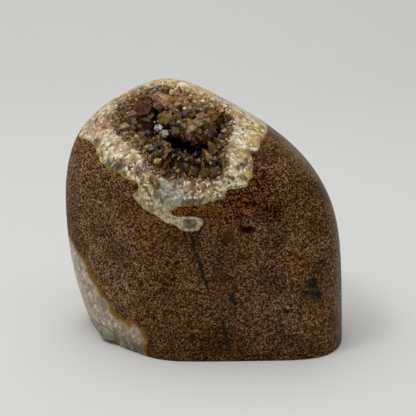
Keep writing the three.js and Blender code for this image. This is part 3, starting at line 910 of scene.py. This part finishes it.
# Degrees off a cluster's own way out, and how many of its crystals stand there.
CLUSTER_RINGS = ((0, 1), (56, 5), (98, 6))
deselect_all()
bpy.ops.mesh.primitive_cylinder_add(vertices=6, radius=0.5, depth=1, location=(0, 0, 0.5))
pattern = bpy.context.object
bpy.ops.object.transform_apply(location=True)
bpy.ops.object.mode_set(mode="EDIT")
bpy.ops.mesh.select_all(action="DESELECT")
bpy.ops.object.mode_set(mode="OBJECT")
for face in pattern.data.polygons:
    face.select = face.normal.z > 0.9
bpy.ops.object.mode_set(mode="EDIT")
bpy.ops.mesh.select_mode(type="FACE")
bpy.ops.mesh.extrude_region_move(TRANSFORM_OT_translate={"value": (0, 0, 1)})
bpy.ops.mesh.merge(type="CENTER")
bpy.ops.object.mode_set(mode="OBJECT")
pattern_points = points_of(pattern)
pattern_faces = [list(face.vertices) for face in pattern.data.polygons]
is_root = pattern_points[:, 2] < 0.25
is_top = pattern_points[:, 2] > 1.5
bpy.data.objects.remove(pattern)


def corner_insets(face):
    """Three numbers for each corner of a face, the least of which is 0 along its edges."""
    if len(face) == 3:
        return [(1, 0, 0), (0, 1, 0), (0, 0, 1)]
    if len(face) > 4:
        return [(1, 1, 1)] * len(face)
    left = pattern_points[face[0], :2]
    sides = [float(np.linalg.norm(pattern_points[corner, :2] - left) > 0.1) for corner in face]
    return [(side, 1 - side, float(is_root[corner])) for side, corner in zip(sides, face)]


pattern_insets = [inset for face in pattern_faces for inset in corner_insets(face)]

chance = np.random.default_rng(CRYSTAL_SEED)
face_middles, face_ways, face_areas = [], [], []
for face in stone.data.polygons:
    corners = points[list(face.vertices)]
    spokes = corners - corners.mean(axis=0)
    lean = np.cross(spokes, np.roll(spokes, -1, axis=0)).sum(axis=0) / 2
    face_middles.append(corners.mean(axis=0))
    face_areas.append(np.linalg.norm(lean))
    face_ways.append(lean / face_areas[-1] if face_areas[-1] > 0 else np.array(face.normal))
face_middles, face_ways, face_areas = np.array(face_middles), np.array(face_ways), np.array(face_areas)
ways, reach = split_from_heart(face_middles)
face_below = (skin_radius(ways) - reach) / MM
face_places = on_window_map(ways)
face_mouth = inside_distance(face_places * MM_PER_DEGREE, mouth_line)
crevices = crevice_depth(face_places, face_mouth)
# Painted shade: crystals deep in the hollow, and in the moat and crevices, are darkened in colour.
painted_deep_shade = np.maximum(ease(face_below, 7.5, 13.0), ease(crevices, 1.5, 5.5))
in_hollow = (face_below > 0.22) & (face_middles[:, 2] > 0.03)
print("hollow area mm2", face_areas[in_hollow].sum() / MM**2)

planted = []


def plant(middle, way, width, shaft, point, tint, clear, sparkle=1.0):
    """Stands a crystal at a place, in millimetres: its width, straight part and tip."""
    planted.append({"middle": np.array(middle), "way": way / np.linalg.norm(way), "width": width,
                    "shaft": shaft, "point": point, "tint": tint, "clear": clear, "sparkle": sparkle})


def tinted(tint, light):
    return tuple(channel * light for channel in tint[:3]) + (1,)


def way_at(place):
    """The direction from the heart to a place on the window's map."""
    tilt = math.radians(math.hypot(*place))
    over = (window_right * place[0] + window_up * place[1]) / max(math.hypot(*place), 1e-6)
    return window_way * math.cos(tilt) + over * math.sin(tilt)


def stand_around(middle, out, rings, reach, width, tint):
    """Stands rings of crystals about a middle, each ring leaning off the way out."""
    side = np.cross(out, (0, 0, 1))
    side /= np.linalg.norm(side)
    other = np.cross(out, side)
    for off, count in rings:
        start = chance.uniform(0, 6.3)
        for step in range(count):
            turn = start + 2 * math.pi * step / count + chance.normal(0, 0.15)
            tilt = math.radians(off + chance.normal(0, 7))
            way = out * math.cos(tilt) + (side * math.cos(turn) + other * math.sin(turn)) * math.sin(tilt)
            reach_here = reach * chance.uniform(0.88, 1.05)
            wide = width * chance.uniform(0.85, 1.15)
            point = wide * chance.uniform(0.38, 0.55)
            plant(middle + way * (reach_here - point) * 0.3, way, wide, (reach_here - point) * 0.7, point,
                  tinted(tint, chance.uniform(0.6, 1.15)), chance.uniform(0.2, 0.5), 0.6)


def middle_at(place, below):
    out = way_at(place)
    return (heart + out * (skin_radius(out[None])[0] - below * MM)) / MM, out


cluster_middles = []
for cluster in CLUSTERS:
    middle, out = middle_at(cluster["place"], cluster["below"])
    out = (out + FORWARD * 0.8) / np.linalg.norm(out + FORWARD * 0.8)
    cluster_middles.append((middle, cluster["reach"]))
    stand_around(middle, out, CLUSTER_RINGS, cluster["reach"], cluster["reach"] * cluster["width"], cluster["tint"])
for place, deep, width, tint in BIG_POINTS:
    middle, out = middle_at(place, deep)
    cluster_middles.append((middle, width / 2))
    way = out + FORWARD * 1.3
    way /= np.linalg.norm(way)
    sparkle = 0.95 if width < GLINT_WIDTH else 0.28
    plant(middle - way * width * 0.3, way, width, width * 0.45, width * 0.22, tint, 0.3, sparkle)

wall_spots = np.zeros((9000, 3))
wall_widths = np.zeros(9000)
wall_count = 0


def has_room(spot_here, width, share):
    gaps = np.linalg.norm(wall_spots[:wall_count] - spot_here, axis=1)
    if np.any(gaps < share * (wall_widths[:wall_count] + width)):
        return False
    return all(np.linalg.norm(middle - spot_here) > reach * 0.95 for middle, reach in cluster_middles)


# The cuts leave the faces in no fixed order, so they are put in order of place.
hollow_faces = np.flatnonzero(in_hollow)
hollow_faces = hollow_faces[np.lexsort((face_middles[hollow_faces] / MM).round(8).T)]
weights = face_areas[hollow_faces] / face_areas[hollow_faces].sum()
SIZES = (
    (3.0, 4.2, 2000, 0.36, 2.4),
    (2.0, 2.7, 3500, 0.35, 1.2),
    (1.3, 1.8, 7000, 0.36, 0.4),
    (0.8, 1.1, 12000, 0.38, -0.5),
)
for smallest, largest, tries, share, least_mouth in SIZES:
    for index in chance.choice(hollow_faces, tries, p=weights):
        width = chance.uniform(smallest, largest)
        across, up = face_places[index]
        middle = face_middles[index] / MM
        if face_mouth[index] < least_mouth or not has_room(middle, width, share):
            continue
        on_front = up < 8
        if on_front:
            width *= 0.85
            if width < 1.1 and crevices[index] > 0.5:
                continue
        if crevices[index] > 3.0:
            width *= 0.6
        elif off_mound(face_places[index][None])[0][0] < 0.95 and width < 2.0:
            continue
        way = face_ways[index] + chance.normal(0, LEAN, 3)
        if across < -16 and up > 16:
            tints = MAUVE
        elif not on_front and face_below[index] < 8:
            tints = GOLDEN
        else:
            tints = SMOKY
        if not on_front:
            way = way / np.linalg.norm(way) + FORWARD * 0.8
        tall = 0.8 if not on_front else 0.9 if crevices[index] > 0.4 else 1.6
        # Painted light: crystals on the front shelf, and high on the mound's right, are brightened in colour.
        painted_lighting = 1.15 if on_front else 1.0 + 0.6 * float(ease(np.array(up), 22, 30)) * (across > -14)
        blend = 1.6 + 2.0 * float(ease(np.array(-across), 24, 34)) + 2.0 * float(ease(np.array(up), 26, 32))
        inner = float(ease(np.array(face_mouth[index] + chance.uniform(-0.9, 0.9)), -0.2, blend))
        sugary, deep = SUGARY[chance.integers(len(SUGARY))], tints[chance.integers(len(tints))]
        # The tint is darkened here by the painted shade of the depths.
        shade = 1 - 0.95 * painted_deep_shade[index]
        tint = tuple((pale + (strong - pale) * inner) * shade for pale, strong in zip(sugary, deep))
        plant(middle, way, width, width * chance.uniform(0.15, 0.45) * tall, width * chance.uniform(0.4, 0.65) * tall,
              tinted(tint, painted_lighting * chance.uniform(0.45, 1.2)), inner * chance.uniform(0.3, 0.85), 0.4 + 0.6 * inner)
        wall_spots[wall_count] = middle
        wall_widths[wall_count] = width
        wall_count += 1

all_points, all_faces, all_tints, all_tips, all_clear, all_insets = [], [], [], [], [], []
painted_facet_levels = []
is_girdle = ~is_root & ~is_top
for crystal in planted:
    width = crystal["width"]
    turn = Vector(crystal["way"]).to_track_quat("Z", "Y").to_matrix() @ Matrix.Rotation(chance.uniform(0, 6.3), 3, "Z")
    shape = pattern_points.copy()
    shape[:, :2] *= width
    shape[:, :2] *= np.where(is_root, ROOT_SPREAD, 1)[:, None]
    shape[is_girdle, 2] = crystal["shaft"] + chance.uniform(-0.1, 0.1, is_girdle.sum()) * width
    shape[is_root, 2] = -ROOT_SHARE * width
    shape[is_top, 2] = crystal["shaft"] + crystal["point"]
    shape[is_top, :2] += chance.uniform(-0.2, 0.2, 2) * width
    shape = (crystal["middle"] + shape @ np.array(turn).T) * MM
    ways, reach = split_from_heart(shape)
    reach = np.minimum(reach, skin_radius(ways) - 0.03 * MM)
    shape = heart + ways * reach[:, None]
    all_faces += [[corner + len(all_points) * len(pattern_points) for corner in face] for face in pattern_faces]
    all_points.append(shape)
    all_tints += [crystal["tint"]] * len(pattern_points)
    all_clear += [crystal["clear"]] * len(pattern_points)
    all_insets += pattern_insets
    # Each face gets a random brightness, spread wider by the crystal's sparkle: painted light and shade on its facets.
    painted_facet_levels += list(0.5 + (chance.uniform(0, 1, len(pattern_faces)) - 0.5) * crystal["sparkle"])
    all_tips += list(np.clip(pattern_points[:, 2] / 2 + 0.1, 0, 1))
print("crystals", len(planted), "faces", len(all_faces))
druse = bpy.data.objects.new("amethyst_druse", bpy.data.meshes.new("amethyst_druse"))
bpy.context.collection.objects.link(druse)
druse.data.from_pydata(np.concatenate(all_points).tolist(), [], all_faces)
druse.data.update()
tints = druse.data.color_attributes.new("tint", "FLOAT_COLOR", "POINT")
tints.data.foreach_set("color", np.array(all_tints, np.float32).ravel())
druse.data.attributes.new("painted_facet_light", "FLOAT", "FACE").data.foreach_set("value", np.array(painted_facet_levels, np.float32))
druse.data.attributes.new("inset", "FLOAT_VECTOR", "CORNER").data.foreach_set(
    "vector", np.array(all_insets, np.float32).ravel())
druse.data.attributes.new("tip", "FLOAT", "POINT").data.foreach_set("value", np.array(all_tips, np.float32))
druse.data.attributes.new("clear", "FLOAT", "POINT").data.foreach_set("value", np.array(all_clear, np.float32))

druse_finish, druse_surface, spot = new_material("smoky_amethyst")
druse.data.materials.append(druse_finish)
tip = mark(spot, "tip")
tint = mark(spot, "tint", "Color")
veil = spot.cloud(1.1, 3).rise(0.35, 0.65)
painted_facet_light = mark(spot, "painted_facet_light")
inset = mark(spot, "inset", "Vector")
from_edge = inset.part(0).least(inset.part(1)).least(inset.part(2))
# Painted light and shade on the crystals: each face lit or shaded at random, with lighter edges as painted highlights,
# under a soft cloudy veil.
light = (0.2 + painted_facet_light * painted_facet_light * 2.0) * (1.15 - from_edge.rise(0.02, 0.3) * 0.35) * (0.62 + veil * 0.66)
light = light + from_edge.rise(0.08, 0.0) * 0.16
# Darker towards the root: painted shade in the gaps between crowded crystals, lighter towards the tip.
root_to_tip = tip.rise(0.12, 0.7).mix(CRYSTAL_ROOT, CRYSTAL_WARMTH)
crystal_colour = (tint * root_to_tip * light).least((1.0, 1.0, 1.0))
# Painted glints: a few faces are turned near white.
crystal_colour = (painted_facet_light.rise(0.91, 0.97) * 0.7).mix(crystal_colour, PAINTED_GLINT)
crystal_normal = spot.bump(spot.cloud(0.7, 2) * 0.05, 0.5)
milky_look = finish(spot, crystal_colour, 0.06 + veil * 0.14, crystal_normal, {"Specular IOR Level": 0.14})
clear_look = finish(spot, tint, 0.04 + veil * 0.06, crystal_normal, {"IOR": 1.54, "Transmission Weight": 1.0})
crystal_look = spot.node("ShaderNodeMixShader", {}, {0: mark(spot, "clear"), 1: milky_look, 2: clear_look})
crystal_look.tree.links.new(crystal_look.socket, druse_surface)
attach(druse, "root")
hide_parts("crystal_crust")
